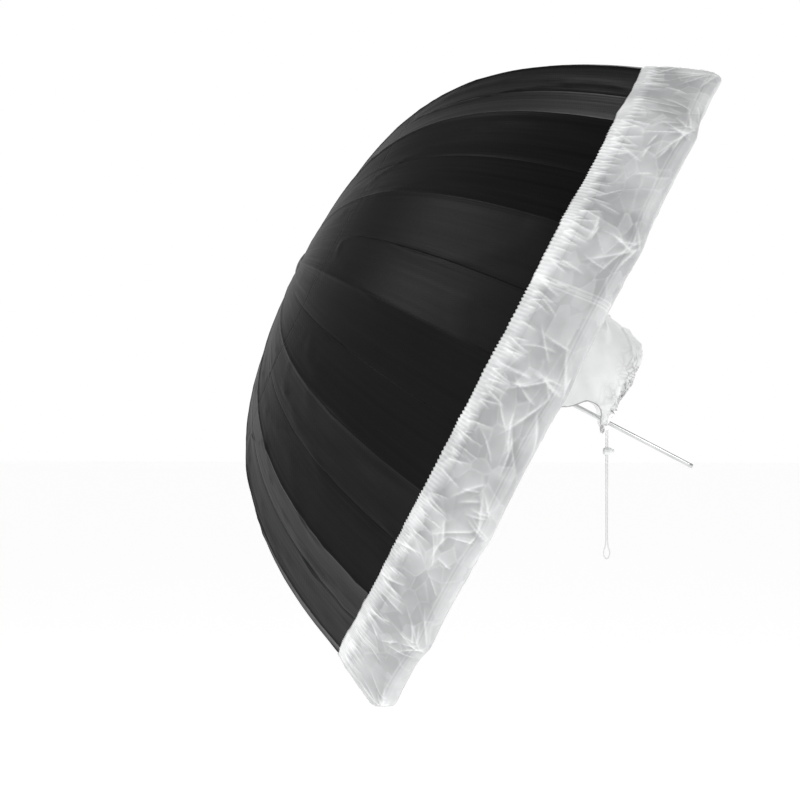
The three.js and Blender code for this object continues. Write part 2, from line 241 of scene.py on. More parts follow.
Relief = Callable[[float, float], tuple[float, float]]


def sheet_grid(
    columns: int,
    rows: int,
    place: Callable[[float, float], Vector],
    relief: Relief,
    away: Callable[[Vector], Vector],
    closed: bool = False,
) -> bmesh.types.BMesh:
    """Makes a sheet from a flat grid: places its vertices, then raises them along their normals.

    Args:
        columns: Faces across.
        rows: Faces along.
        place: Gives the smooth sheet's point for (across, along), both from 0 to 1.
        relief: Gives the height of the creases and the shade for (across, along).
        away: Gives the rough outward direction at a point.
        closed: Whether the last column meets the first.

    Returns:
        The sheet, with a UV map of (across, along) and a "shade" attribute.
    """
    form = bmesh.new()
    bmesh.ops.create_grid(form, x_segments=columns, y_segments=rows, size=0.5)
    uv = form.loops.layers.uv.new("UVMap")
    for face in form.faces:
        for loop in face.loops:
            loop[uv].uv = (loop.vert.co.x + 0.5, loop.vert.co.y + 0.5)
    shade = form.verts.layers.float.new("shade")
    rise = form.verts.layers.float.new("rise")
    for vertex in form.verts:
        across, along = vertex.co.x + 0.5, vertex.co.y + 0.5
        vertex[rise], vertex[shade] = relief(across, along)
        vertex.co = place(across, along)
    if closed:
        bmesh.ops.remove_doubles(form, verts=form.verts, dist=1e-6)
    form.normal_update()
    if sum(face.normal.dot(away(face.calc_center_median())) for face in form.faces) < 0:
        bmesh.ops.reverse_faces(form, faces=form.faces)
        form.normal_update()
    for vertex, normal in [(vertex, vertex.normal.copy()) for vertex in form.verts]:
        vertex.co += normal * vertex[rise]
    form.verts.layers.float.remove(rise)
    return form


def crease(value: float, width: float) -> float:
    """Returns a sharp ridge, 1 where value is 0 and nothing beyond width either side."""
    share = 1 - min(1.0, abs(value) / width)
    return share * share


def cloth_noise(angle: float, along: float, around_scale: float, along_scale: float,
                seed: float = 0.0) -> float:
    """Noise that closes on itself round the umbrella.

    Args:
        angle: Turn from the top.
        along: Distance along the cloth, across the ring.
        around_scale: Waves in a metre round the rim.
        along_scale: Waves in a metre along the cloth.
        seed: Moves the pattern.

    Returns:
        A value from about -1 to 1.
    """
    reach = BOWL.rim_radius * around_scale
    return noise.noise(Vector((math.cos(angle) * reach + seed, math.sin(angle) * reach, along * along_scale)))


def turned_form(outline: Sequence[tuple[float, float]], sides: int = 64) -> bmesh.types.BMesh:
    """Spins an outline of (x, radius) points about the shaft's axis.

    Args:
        outline: The points, in order.
        sides: Steps around.

    Returns:
        The closed or open turned form, with its faces pointing out.
    """
    form = bmesh.new()
    corners = [form.verts.new((x, 0, radius)) for x, radius in outline]
    edges = [form.edges.new(pair) for pair in zip(corners, corners[1:])]
    bmesh.ops.spin(form, geom=corners + edges, cent=(0, 0, 0), axis=(1, 0, 0), angle=2 * math.pi,
                   steps=sides, use_merge=True)
    bmesh.ops.remove_doubles(form, verts=form.verts, dist=1e-6)
    bmesh.ops.recalc_face_normals(form, faces=form.faces)
    return form


def tube_along(name: str, points: Iterable[Vector], radius: float, closed: bool = False) -> bpy.types.Object:
    """Makes a round tube along points in the row frame, as a mesh.

    Args:
        name: The piece's name.
        points: The tube's centre line.
        radius: The tube's radius.
        closed: Whether the line closes on itself.

    Returns:
        The tube.
    """
    curve = line_curve(name + "_line", points, radius, closed)
    mesh = bpy.data.meshes.new_from_object(curve.evaluated_get(bpy.context.evaluated_depsgraph_get()))
    bpy.data.objects.remove(curve)
    mesh.name = name
    for polygon in mesh.polygons:
        polygon.use_smooth = True
    piece = bpy.data.objects.new(name, mesh)
    bpy.context.scene.collection.objects.link(piece)
    return piece


def line_curve(name: str, points: Iterable[Vector], radius: float, closed: bool = False) -> bpy.types.Object:
    """Makes a smooth bevelled curve through points in the row frame.

    Args:
        name: The curve's name.
        points: Points that it passes near.
        radius: Its bevel's radius.
        closed: Whether it closes on itself.

    Returns:
        The curve object.
    """
    points = list(points)
    data = bpy.data.curves.new(name, "CURVE")
    data.dimensions = "3D"
    data.bevel_depth = radius
    data.bevel_resolution = 3
    data.resolution_u = 6
    data.use_fill_caps = True
    spline = data.splines.new("BEZIER")
    spline.bezier_points.add(len(points) - 1)
    for knot, point in zip(spline.bezier_points, points):
        knot.co = point
        knot.handle_left_type = knot.handle_right_type = "AUTO"
    spline.use_cyclic_u = closed
    curve = bpy.data.objects.new(name, data)
    bpy.context.scene.collection.objects.link(curve)
    bpy.context.view_layer.update()
    return curve


def thicken(piece: bpy.types.Object, thickness: float, lining: int = 0) -> None:
    """Gives a sheet its thickness.

    Args:
        piece: The sheet, at the thickness's outer side.
        thickness: The cloth's thickness.
        lining: Steps from a face's material to the one on its inner side.
    """
    modifier = piece.modifiers.new("Thickness", "SOLIDIFY")
    modifier.thickness = thickness
    modifier.material_offset = lining


def attach(piece: bpy.types.Object, body: str, slot: str, *nodes: str) -> bpy.types.Object:
    """Rides a piece on a body, hides the CAD nodes that it stands for, and logs it.

    Args:
        piece: The piece.
        body: The CAD body that it moves with.
        slot: Not used.
        *nodes: CAD nodes that it replaces.

    Returns:
        The piece.
    """
    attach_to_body(piece, body)
    if nodes:
        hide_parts(*nodes)
    LOG.info("made %s on %s", piece.name, body)
    return piece


def crumple_cells(angle: float, back: float) -> tuple[float, float]:
    """Breaks the skirt into flat facets with sharp edges, as crumpled nylon has.

    Args:
        angle: Turn from the top.
        back: Distance back from the rim.

    Returns:
        The facet's painted shade from -1 to 1, as if each facet were turned a different way to the light, and
        how near its edge is, from 0 to 1.
    """
    bend = 0.55 * cloth_noise(angle, back, 12, 14, 33)
    reach = BOWL.rim_radius * 24
    spot = Vector((math.cos(angle) * reach + bend, math.sin(angle) * reach, back * 38 + bend))
    gaps, middles = noise.voronoi(spot)
    # The cell value gives each facet its painted shade.
    return noise.cell(middles[0] * 7.0) * 2 - 1, crease(gaps[1] - gaps[0], 0.16)


# ---- finishes ----------------------------------------------------------------------------------


class NodeBoard:
    """A material's node tree, with short ways to add and join nodes."""

    def __init__(self, name: str) -> None:
        """Starts a material.

        Args:
            name: The material's name.
        """
        self.material = bpy.data.materials.new(name)
        self.material.use_nodes = True
        self.tree = self.material.node_tree
        self.shader = self.tree.nodes["Principled BSDF"]
        self.output = self.tree.nodes["Material Output"]

    def add(self, kind: str, **settings: object) -> bpy.types.Node:
        """Adds a node.

        Args:
            kind: The node's type name without its ShaderNode prefix.
            **settings: Properties, or input sockets by name with underscores for blanks.

        Returns:
            The node.
        """
        node = self.tree.nodes.new("ShaderNode" + kind)
        for key, value in settings.items():
            if hasattr(node, key):
                setattr(node, key, value)
            else:
                node.inputs[key.replace("_", " ")].default_value = value
        return node

    def join(self, source: bpy.types.NodeSocket, target: bpy.types.NodeSocket) -> None:
        """Links an output to an input."""
        self.tree.links.new(source, target)

    def place(self, scale: Sequence[float] = (1, 1, 1), uv: bool = False) -> bpy.types.NodeSocket:
        """Returns Object or UV coordinates after a scale."""
        source = self.add("TexCoord").outputs["UV" if uv else "Object"]
        mapping = self.add("Mapping")
        mapping.inputs["Scale"].default_value = scale
        self.join(source, mapping.inputs["Vector"])
        return mapping.outputs["Vector"]

    def noise(self, where: bpy.types.NodeSocket, scale: float, detail: float = 3.0,
              rough: float = 0.5) -> bpy.types.NodeSocket:
        """Returns a noise texture's value at where."""
        node = self.add("TexNoise", Scale=scale, Detail=detail, Roughness=rough)
        self.join(where, node.inputs["Vector"])
        return node.outputs["Fac"]

    def ramp(self, source: bpy.types.NodeSocket,
             stops: Sequence[tuple[float, Sequence[float]]]) -> bpy.types.NodeSocket:
        """Returns a colour ramp over source, with stops of (place, colour)."""
        node = self.add("ValToRGB")
        band = node.color_ramp
        while len(band.elements) < len(stops):
            band.elements.new(0.5)
        for element, (place, colour) in zip(band.elements, stops):
            element.position = place
            element.color = (*colour[:3], 1.0)
        self.join(source, node.inputs["Fac"])
        return node.outputs["Color"]

    def blend(self, mode: str, amount: float | bpy.types.NodeSocket, first: bpy.types.NodeSocket,
              second: bpy.types.NodeSocket) -> bpy.types.NodeSocket:
        """Returns two colours mixed by a blend mode."""
        node = self.add("Mix", data_type="RGBA", blend_type=mode)
        if isinstance(amount, (int, float)):
            node.inputs[0].default_value = amount
        else:
            self.join(amount, node.inputs[0])
        self.join(first, node.inputs[6])
        self.join(second, node.inputs[7])
        return node.outputs[2]

    def maths(self, operation: str, first: bpy.types.NodeSocket,
              second: float | bpy.types.NodeSocket) -> bpy.types.NodeSocket:
        """Returns the result of a Math node on a socket and a value or second socket."""
        node = self.add("Math", operation=operation)
        self.join(first, node.inputs[0])
        if isinstance(second, (int, float)):
            node.inputs[1].default_value = second
        else:
            self.join(second, node.inputs[1])
        return node.outputs[0]

    def weave(self, pitch: float) -> bpy.types.NodeSocket:
        """Returns a plain weave's height, with threads pitch metres apart, on Object coordinates."""
        where = self.place()
        turns = 2 * math.pi / pitch / 20
        heights = []
        for direction in ("X", "Z"):
            wave = self.add("TexWave", wave_type="BANDS", bands_direction=direction, Scale=turns / 3,
                            Distortion=0.4, Detail=1.0)
            self.join(where, wave.inputs["Vector"])
            heights.append(wave.outputs["Fac"])
        return self.maths("MULTIPLY", heights[0], heights[1])

    def bump(self, height: bpy.types.NodeSocket, distance: float, strength: float = 1.0,
             under: bpy.types.NodeSocket | None = None) -> bpy.types.NodeSocket:
        """Returns a bumped normal, on top of another where one is given."""
        node = self.add("Bump", Strength=strength, Distance=distance)
        self.join(height, node.inputs["Height"])
        if under is not None:
            self.join(under, node.inputs["Normal"])
        return node.outputs["Normal"]

    def wear(self, colour: bpy.types.NodeSocket | None = None, roughness: bpy.types.NodeSocket | None = None,
             normal: bpy.types.NodeSocket | None = None) -> bpy.types.Material:
        """Joins the shader's varying inputs and returns the material."""
        for name, socket in (("Base Color", colour), ("Roughness", roughness), ("Normal", normal)):
            if socket is not None:
                self.join(socket, self.shader.inputs[name])
        return self.material

    def set(self, **values: object) -> "NodeBoard":
        """Sets constant inputs of the shader, with underscores for blanks."""
        for key, value in values.items():
            self.shader.inputs[key.replace("_", " ")].default_value = value
        return self


@dataclass(frozen=True)
class CanopySatin:
    """Tightly woven satin polyester with long streaks down each gore, rougher and lighter in colour there;
    the lighter colour is a painted sheen.

    Attributes:
        name: The material's name.
        low: Colour in the dark streaks.
        high: Colour in the light streaks, a painted sheen.
    """

    name: str
    low: tuple[float, float, float]
    high: tuple[float, float, float]

    def material(self) -> bpy.types.Material:
        """Returns the cloth's material."""
        board = NodeBoard(self.name)
        board.set(Specular_IOR_Level=0.11)
        streaks = board.noise(board.place((34, 1.6, 1), uv=True), 1.0, 4.0, 0.6)
        clouds = board.noise(board.place(), 5.0, 2.0)
        tone = board.maths("ADD", board.maths("MULTIPLY", streaks, 0.6), board.maths("MULTIPLY", clouds, 0.4))
        # Painted sheen: the colour is lighter along the streaks.
        colour = board.ramp(tone, [(0.35, self.low), (0.68, self.high)])
        roughness = board.maths("ADD", board.maths("MULTIPLY", streaks, 0.22), 0.36)
        folds = board.bump(board.noise(board.place((22, 2.4, 1), uv=True), 1.0, 3.0), 0.0016, 0.35)
        normal = board.bump(board.weave(0.0012), 0.0002, 0.3, folds)
        return board.wear(colour, roughness, normal)


@dataclass(frozen=True)
class DiffuserNylon:
    """Thin white nylon, coloured from shaded to lit by painted shade: grey where it lies on the black canopy
    and shows it through, lighter where it lifts, with painted highlights on its folds.

    Attributes:
        name: The material's name.
        shaded: Colour at the deepest painted shade, where it lies flat on something dark.
        lit: Colour at the brightest painted highlight, where it stands off.
        crumple: Depth of the fine creases, in metres.
        painted_glow: A painted glow, emission that stands in for light coming through the cloth from its
            other side.
        cells: Number of creases in a metre.
        painted_crease_shade: How dark the painted shade at the creases' bottoms is, on a sheet that crumples
            only towards its end.
        slack_from: Share of that sheet's length where it starts to crumple.
    """

    name: str
    shaded: tuple[float, float, float]
    lit: tuple[float, float, float]
    crumple: float = 0.0016
    painted_glow: float = 0.0
    cells: float = 26.0
    painted_crease_shade: float = 0.0
    slack_from: float = 0.3

    def material(self) -> bpy.types.Material:
        """Returns the cloth's material."""
        board = NodeBoard(self.name)
        # Painted glow: the emission stands in for light coming through the cloth.
        board.set(Roughness=0.55, Specular_IOR_Level=0.35, Sheen_Weight=0.1, Sheen_Roughness=0.4,
                  Emission_Color=(1, 1, 1, 1), Emission_Strength=self.painted_glow)
        # Painted shade: the colour runs from shaded to lit on the sheets' shade attribute.
        shade = board.add("Attribute", attribute_name="shade").outputs["Fac"]
        drift = board.noise(board.place(), 14.0, 3.0, 0.55)
        tone = board.maths("ADD", shade, board.maths("MULTIPLY", board.maths("SUBTRACT", drift, 0.5), 0.55))
        colour = board.ramp(tone, [(0.0, self.shaded), (1.0, self.lit)])
        where = board.place()
        creases = board.add("TexVoronoi", feature="DISTANCE_TO_EDGE", Scale=self.cells, Detail=2.0,
                            Roughness=0.6)
        bend = board.add("TexNoise", Scale=9.0, Detail=2.0)
        board.join(where, bend.inputs["Vector"])
        warped = board.add("Mix", data_type="VECTOR")
        warped.inputs[0].default_value = 0.18
        board.join(where, warped.inputs[4])
        board.join(bend.outputs["Color"], warped.inputs[5])
        board.join(warped.outputs[1], creases.inputs["Vector"])
        ridge = board.maths("POWER", creases.outputs["Distance"], 0.5)
        if self.painted_crease_shade:
            along = board.add("SeparateXYZ")
            board.join(board.place(uv=True), along.inputs[0])
            slack = board.ramp(along.outputs["Y"], [(self.slack_from, (0.0,) * 3),
                                                    (self.slack_from + 0.14, (1.0,) * 3)])
            ridge = board.maths("MULTIPLY", ridge, slack)
            # Painted shade: darker at the creases' bottoms, in patches, towards the sheet's end.
            depth = board.ramp(creases.outputs["Distance"], [(0.0, (1.0 - self.painted_crease_shade,) * 3),
                                                             (0.09, (1.0,) * 3)])
            crease_shade_patches = board.ramp(board.noise(where, 22.0, 2.0), [(0.4, (0.1,) * 3), (0.6, (1.0,) * 3)])
            colour = board.blend("MULTIPLY", board.maths("MULTIPLY", slack, crease_shade_patches), colour, depth)
        crumples = board.bump(ridge, self.crumple, 0.55)
        ripples = board.bump(board.noise(where, 60.0, 4.0, 0.6), 0.0012, 0.35, crumples)
        normal = board.bump(board.weave(0.0009), 0.0001, 0.15, ripples)
        return board.wear(colour, None, normal)


@dataclass(frozen=True)
class BraidedCord:
    """Soft braided cord.

    Attributes:
        name: The material's name.
        colour: Its colour.
        pitch: Length of one turn of the braid.
    """

    name: str
    colour: tuple[float, float, float]
    pitch: float = 0.004

    def material(self) -> bpy.types.Material:
        """Returns the cord's material."""
        board = NodeBoard(self.name).set(Roughness=0.85, Sheen_Weight=0.2)
        where = board.place()
        wave = board.add("TexWave", wave_type="BANDS", bands_direction="DIAGONAL", Distortion=1.5, Detail=2.0,
                         Scale=1 / self.pitch / 3)
        board.join(where, wave.inputs["Vector"])
        # Painted shade: darker in the braid's grooves, on the same bands that give its bump.
        dark = tuple(channel * 0.86 for channel in self.colour)
        colour = board.ramp(wave.outputs["Fac"], [(0.1, dark), (0.7, self.colour)])
        return board.wear(colour, None, board.bump(wave.outputs["Fac"], 0.0002, 0.5))


@dataclass(frozen=True)
class MouldedPlastic:
    """Moulded plastic with a fine matt grain and slightly polished high spots.

    Attributes:
        name: The material's name.
        colour: Its colour.
        roughness: Its mean roughness.
    """

    name: str
    colour: tuple[float, float, float]
    roughness: float = 0.45

    def material(self) -> bpy.types.Material:
        """Returns the plastic's material."""
        board = NodeBoard(self.name).set(Specular_IOR_Level=0.4)
        where = board.place()
        drift = board.noise(where, 40.0, 3.0)
        pale = tuple(min(1.0, channel * 1.25 + 0.004) for channel in self.colour)
        colour = board.ramp(drift, [(0.35, self.colour), (0.75, pale)])
        roughness = board.maths("ADD", board.maths("MULTIPLY", drift, 0.2), self.roughness - 0.1)
        return board.wear(colour, roughness, board.bump(board.noise(where, 1500.0, 2.0), 0.00008, 0.4))


@dataclass(frozen=True)
class DrawnSteel:
    """Polished or painted steel with faint draw marks along it.

    Attributes:
        name: The material's name.
        colour: Its colour.
        metallic: 1 for bare metal, 0 for paint.
        roughness: Its mean roughness.
    """

    name: str
    colour: tuple[float, float, float]
    metallic: float
    roughness: float

    def material(self) -> bpy.types.Material:
        """Returns the metal's material."""
        board = NodeBoard(self.name).set(Metallic=self.metallic)
        marks = board.noise(board.place((6, 260, 260)), 1.0, 2.0)
        smears = board.noise(board.place(), 30.0, 3.0)
        dark = tuple(channel * 0.86 for channel in self.colour)
        colour = board.ramp(smears, [(0.3, dark), (0.7, self.colour)])
        tone = board.maths("ADD", board.maths("MULTIPLY", marks, 0.12), board.maths("MULTIPLY", smears, 0.1))
        roughness = board.maths("ADD", tone, self.roughness - 0.1)
        return board.wear(colour, roughness, board.bump(marks, 0.00002, 0.1))


@dataclass
class Finishes:
    """Every finish of the umbrella, made once."""

    canopy: bpy.types.Material = field(init=False)
    lining: bpy.types.Material = field(init=False)
    diffuser: bpy.types.Material = field(init=False)
    hood: bpy.types.Material = field(init=False)
    hood_inside: bpy.types.Material = field(init=False)
    elastic: bpy.types.Material = field(init=False)
    cord: bpy.types.Material = field(init=False)
    black_plastic: bpy.types.Material = field(init=False)
    pale_plastic: bpy.types.Material = field(init=False)
    fibreglass: bpy.types.Material = field(init=False)
    black_paint: bpy.types.Material = field(init=False)
    chrome: bpy.types.Material = field(init=False)

    def __post_init__(self) -> None:
        """Makes the materials."""
        self.canopy = CanopySatin("canopy_satin", (0.0014, 0.0014, 0.0016),
                                  (0.0048, 0.0048, 0.0051)).material()
        self.lining = CanopySatin("canopy_lining", (0.62, 0.62, 0.63), (0.78, 0.78, 0.79)).material()
        self.diffuser = DiffuserNylon("diffuser_nylon", (0.37, 0.375, 0.38), (0.89, 0.895, 0.90),
                                      crumple=0.0007).material()
        self.hood = DiffuserNylon("hood_nylon", (0.42, 0.43, 0.42), (0.86, 0.87, 0.865), crumple=0.0036,
                                  cells=58.0, painted_crease_shade=0.42).material()
        # The hood's inside carries a painted glow.
        self.hood_inside = DiffuserNylon("hood_nylon_inside", (0.7, 0.7, 0.7), (0.85, 0.85, 0.85),
                                         crumple=0.0014, painted_glow=0.4).material()
        self.elastic = DiffuserNylon("elastic_hem", (0.42, 0.42, 0.42), (0.84, 0.84, 0.84), 0.0006).material()
        self.cord = BraidedCord("white_cord", (0.84, 0.84, 0.84)).material()
        self.black_plastic = MouldedPlastic("black_nylon_moulding", (0.014, 0.014, 0.015)).material()
        self.pale_plastic = MouldedPlastic("pale_moulding", (0.72, 0.73, 0.73), 0.4).material()
        self.fibreglass = MouldedPlastic("fibreglass_rod", (0.012, 0.012, 0.013), 0.32).material()
        self.black_paint = DrawnSteel("painted_stretcher", (0.02, 0.02, 0.021), 0.0, 0.38).material()
        self.chrome = DrawnSteel("polished_tube", (0.6, 0.605, 0.61), 1.0, 0.16).material()


# ---- studio ------------------------------------------------------------------------------------


@dataclass
class Studio:
    """Camera, soft lights and a pale floor.

    Attributes:
        distance: From the camera to the plane of the shaft.
        hem_x: Where the camera looks, on the shaft in umbrella axes.
        below: How far the camera is under the shaft, across it.
        lens: Focal length on a 36 mm sensor.
        aim: Where the looked-at point comes in an 800 x 800 picture.
        floor_z: Height of the floor.
        surround: Brightness of the surround, as (upward share of the direction, brightness).
    """

    distance: float = 3.405
    hem_x: float = -0.191 + 0.010
    below: float = 0.0404
    lens: float = 1852.4 * 36 / 800
    aim: tuple[float, float] = (497.7, 365.3)
    floor_z: float = -1.35
    surround: tuple[tuple[float, float], ...] = ((0.22, 1.0), (0.6, 0.42), (1.0, 0.15))

    def build(self) -> None:
        """Makes the camera, then the lights and the floor."""
        self.make_camera()
        self.make_lights()
        self.make_floor()

    def make_camera(self) -> None:
        """Aims a level camera so that the hem's centre comes where it should in the picture."""
        data = bpy.data.cameras.new("camera")
        data.lens = self.lens
        data.sensor_width = 36
        data.clip_end = 100
        camera = bpy.data.objects.new("camera", data)
        bpy.context.scene.collection.objects.link(camera)
        looked_at = TO_ROW @ Vector((self.hem_x, 0, 0))
        place = TO_ROW @ Vector((self.hem_x, -self.distance, -self.below))
        focal = self.lens / 36 * 800
        right, up = (self.aim[0] - 400) / focal, (400 - self.aim[1]) / focal
        way = looked_at - place
        level = math.hypot(way.x, way.y)
        heading = math.atan2(way.x, way.y) - math.atan(right)
        tilt = math.atan2(way.z, level) - math.atan(up)
        turn = Matrix.Rotation(-heading, 4, "Z") @ Matrix.Rotation(math.pi / 2 + tilt, 4, "X")
        camera.matrix_world = Matrix.Translation(place) @ turn
        bpy.context.scene.camera = camera

    def make_lights(self) -> None:
        """Adds a bright even surround and three large soft lamps."""
        world = bpy.data.worlds.new("studio")
        bpy.context.scene.world = world
        world.use_nodes = True
        tree = world.node_tree
        surround = tree.nodes["Background"]
        surround.inputs["Strength"].default_value = 1.0
        way = tree.nodes.new("ShaderNodeTexCoord")
        parts = tree.nodes.new("ShaderNodeSeparateXYZ")
        band = tree.nodes.new("ShaderNodeValToRGB")
        band.color_ramp.elements.new(0.5)
        for element, (place, grey) in zip(band.color_ramp.elements, self.surround):
            element.position = place
            element.color = (grey, grey, grey, 1)
        tree.links.new(way.outputs["Generated"], parts.inputs["Vector"])
        tree.links.new(parts.outputs["Z"], band.inputs["Fac"])
        tree.links.new(band.outputs["Color"], surround.inputs["Color"])
        self.lamp("key", (-2.4, -1.6, 3.0), 1.6, 70)
        self.lamp("side", (2.8, -1.8, 0.6), 1.2, 18)
        self.lamp("back", (1.0, 3.0, 2.4), 1.8, 30)
        bpy.context.scene.view_settings.view_transform = "Standard"

    def lamp(self, name: str, place: Sequence[float], size: float, power: float) -> None:
        """Adds a square soft lamp aimed at the umbrella."""
        data = bpy.data.lights.new(name, "AREA")
        data.energy = power
        data.size = size
        light = bpy.data.objects.new(name, data)
        light.location = place
        light.rotation_euler = (Vector((-0.2, 0, 0)) - Vector(place)).to_track_quat("-Z", "Y").to_euler()
        bpy.context.scene.collection.objects.link(light)

    def make_floor(self) -> None:
        """Adds the pale floor."""
        form = bmesh.new()
        bmesh.ops.create_grid(form, x_segments=1, y_segments=1, size=30)
        bmesh.ops.translate(form, verts=form.verts, vec=(0, 0, self.floor_z))
        floor = finish_mesh(form, "studio_floor", Axes.ROW)
        board = NodeBoard("pale_floor").set(Roughness=0.9, Specular_IOR_Level=0.1,
                                            Emission_Color=(1, 1, 1, 1), Emission_Strength=0.56)
        grain = board.noise(board.place(), 3.0)
        floor.data.materials.append(board.wear(board.ramp(grain, [(0.0, (0.93,) * 3), (1.0, (0.95,) * 3)])))


# ---- sub-assemblies ----------------------------------------------------------------------------


@dataclass
class DrawCord:
    """The doubled draw-cord under the hood's mouth, with its spring toggle.

    Attributes:
        finishes: The umbrella's finishes.
        top: Where the strands leave the hood's mouth, in the row frame.
        drops: The route as (half width, distance below the top).
        diameter: The cord's diameter.
    """

    finishes: Finishes
    top: Vector = field(default_factory=lambda: Vector((0.039077, 0, -0.031052)))
    drops: tuple[tuple[float, float], ...] = (
        (0.0016, 0.0), (0.0016, 0.030), (0.0016, 0.060), (0.0016, 0.095), (0.0016, 0.130), (0.0016, 0.163),
        (0.0016, 0.195), (0.0022, 0.215), (0.0055, 0.228), (0.0042, 0.2362),
    )
    diameter: float = 0.0024

    def build(self) -> None:
        """Makes the cord and dresses it and its toggle."""
        down = [self.top + Vector((-half, 0, -drop)) for half, drop in self.drops]
        bottom = self.top + Vector((0, 0, -0.240))
        up = [self.top + Vector((half, 0, -drop)) for half, drop in reversed(self.drops)]
        route = [*down, bottom, *up]
        cord = line_curve("draw_cord", route, self.diameter / 2)
        cord.data.materials.append(self.finishes.cord)
        attach(cord, "cover", "cord_white", "drawcord")
        for name in ("toggle", "toggle_button"):
            dress(name, self.finishes.pale_plastic)
        length = sum((b - a).length for a, b in zip(route, route[1:]))
        tuple(route[0])


def dress(node: str, *materials: bpy.types.Material) -> None:
    """Gives a CAD node its finish.

    Args:
        node: The node's name.
        *materials: The materials for its slots.
    """
    slots = frame["nodes"][node].data.materials
    slots.clear()
    for material in materials:
        slots.append(material)


@dataclass
class FrameMetal:
    """The shaft, crown, runner, ribs and stretchers.

    Attributes:
        finishes: The umbrella's finishes.
        shaft_start: Where the shaft begins, inside the crown.
        shaft_end: Where it ends.
        radius: The tube's outside radius.
        wall: The tube's wall.
    """

    finishes: Finishes
    shaft_start: float = -0.582
    shaft_end: float = 0.213
    radius: float = 0.004
    wall: float = 0.0008

    def build(self) -> None:
        """Makes the smooth shaft and dresses the other metal and plastic pieces."""
        self.make_shaft()
        for name in frame["nodes"]:
            if name.startswith("rib_"):
                dress(name, self.finishes.fibreglass)
            elif name.startswith("stretcher_"):
                dress(name, self.finishes.black_paint)
        for name in ("crown", "crown_cap", "runner"):
            dress(name, self.finishes.black_plastic)
        for name in ("runner_button", "shaft_end_cap"):
            dress(name, self.finishes.chrome)

    def make_shaft(self) -> None:
        """Turns the shaft's tube with softened ends."""
        outer, inner, soft = self.radius, self.radius - self.wall, 0.0003
        start, end = self.shaft_start, self.shaft_end
        outline = [(start, inner), (start, outer - soft), (start + soft, outer), (end - soft, outer),
                   (end, outer - soft), (end, inner), (start, inner)]
        shaft = finish_mesh(turned_form(outline, 48), "shaft_tube", Axes.UMBRELLA)
        shaft.data.materials.append(self.finishes.chrome)
        attach(shaft, "shaft_frame", "shaft_chrome", "shaft")


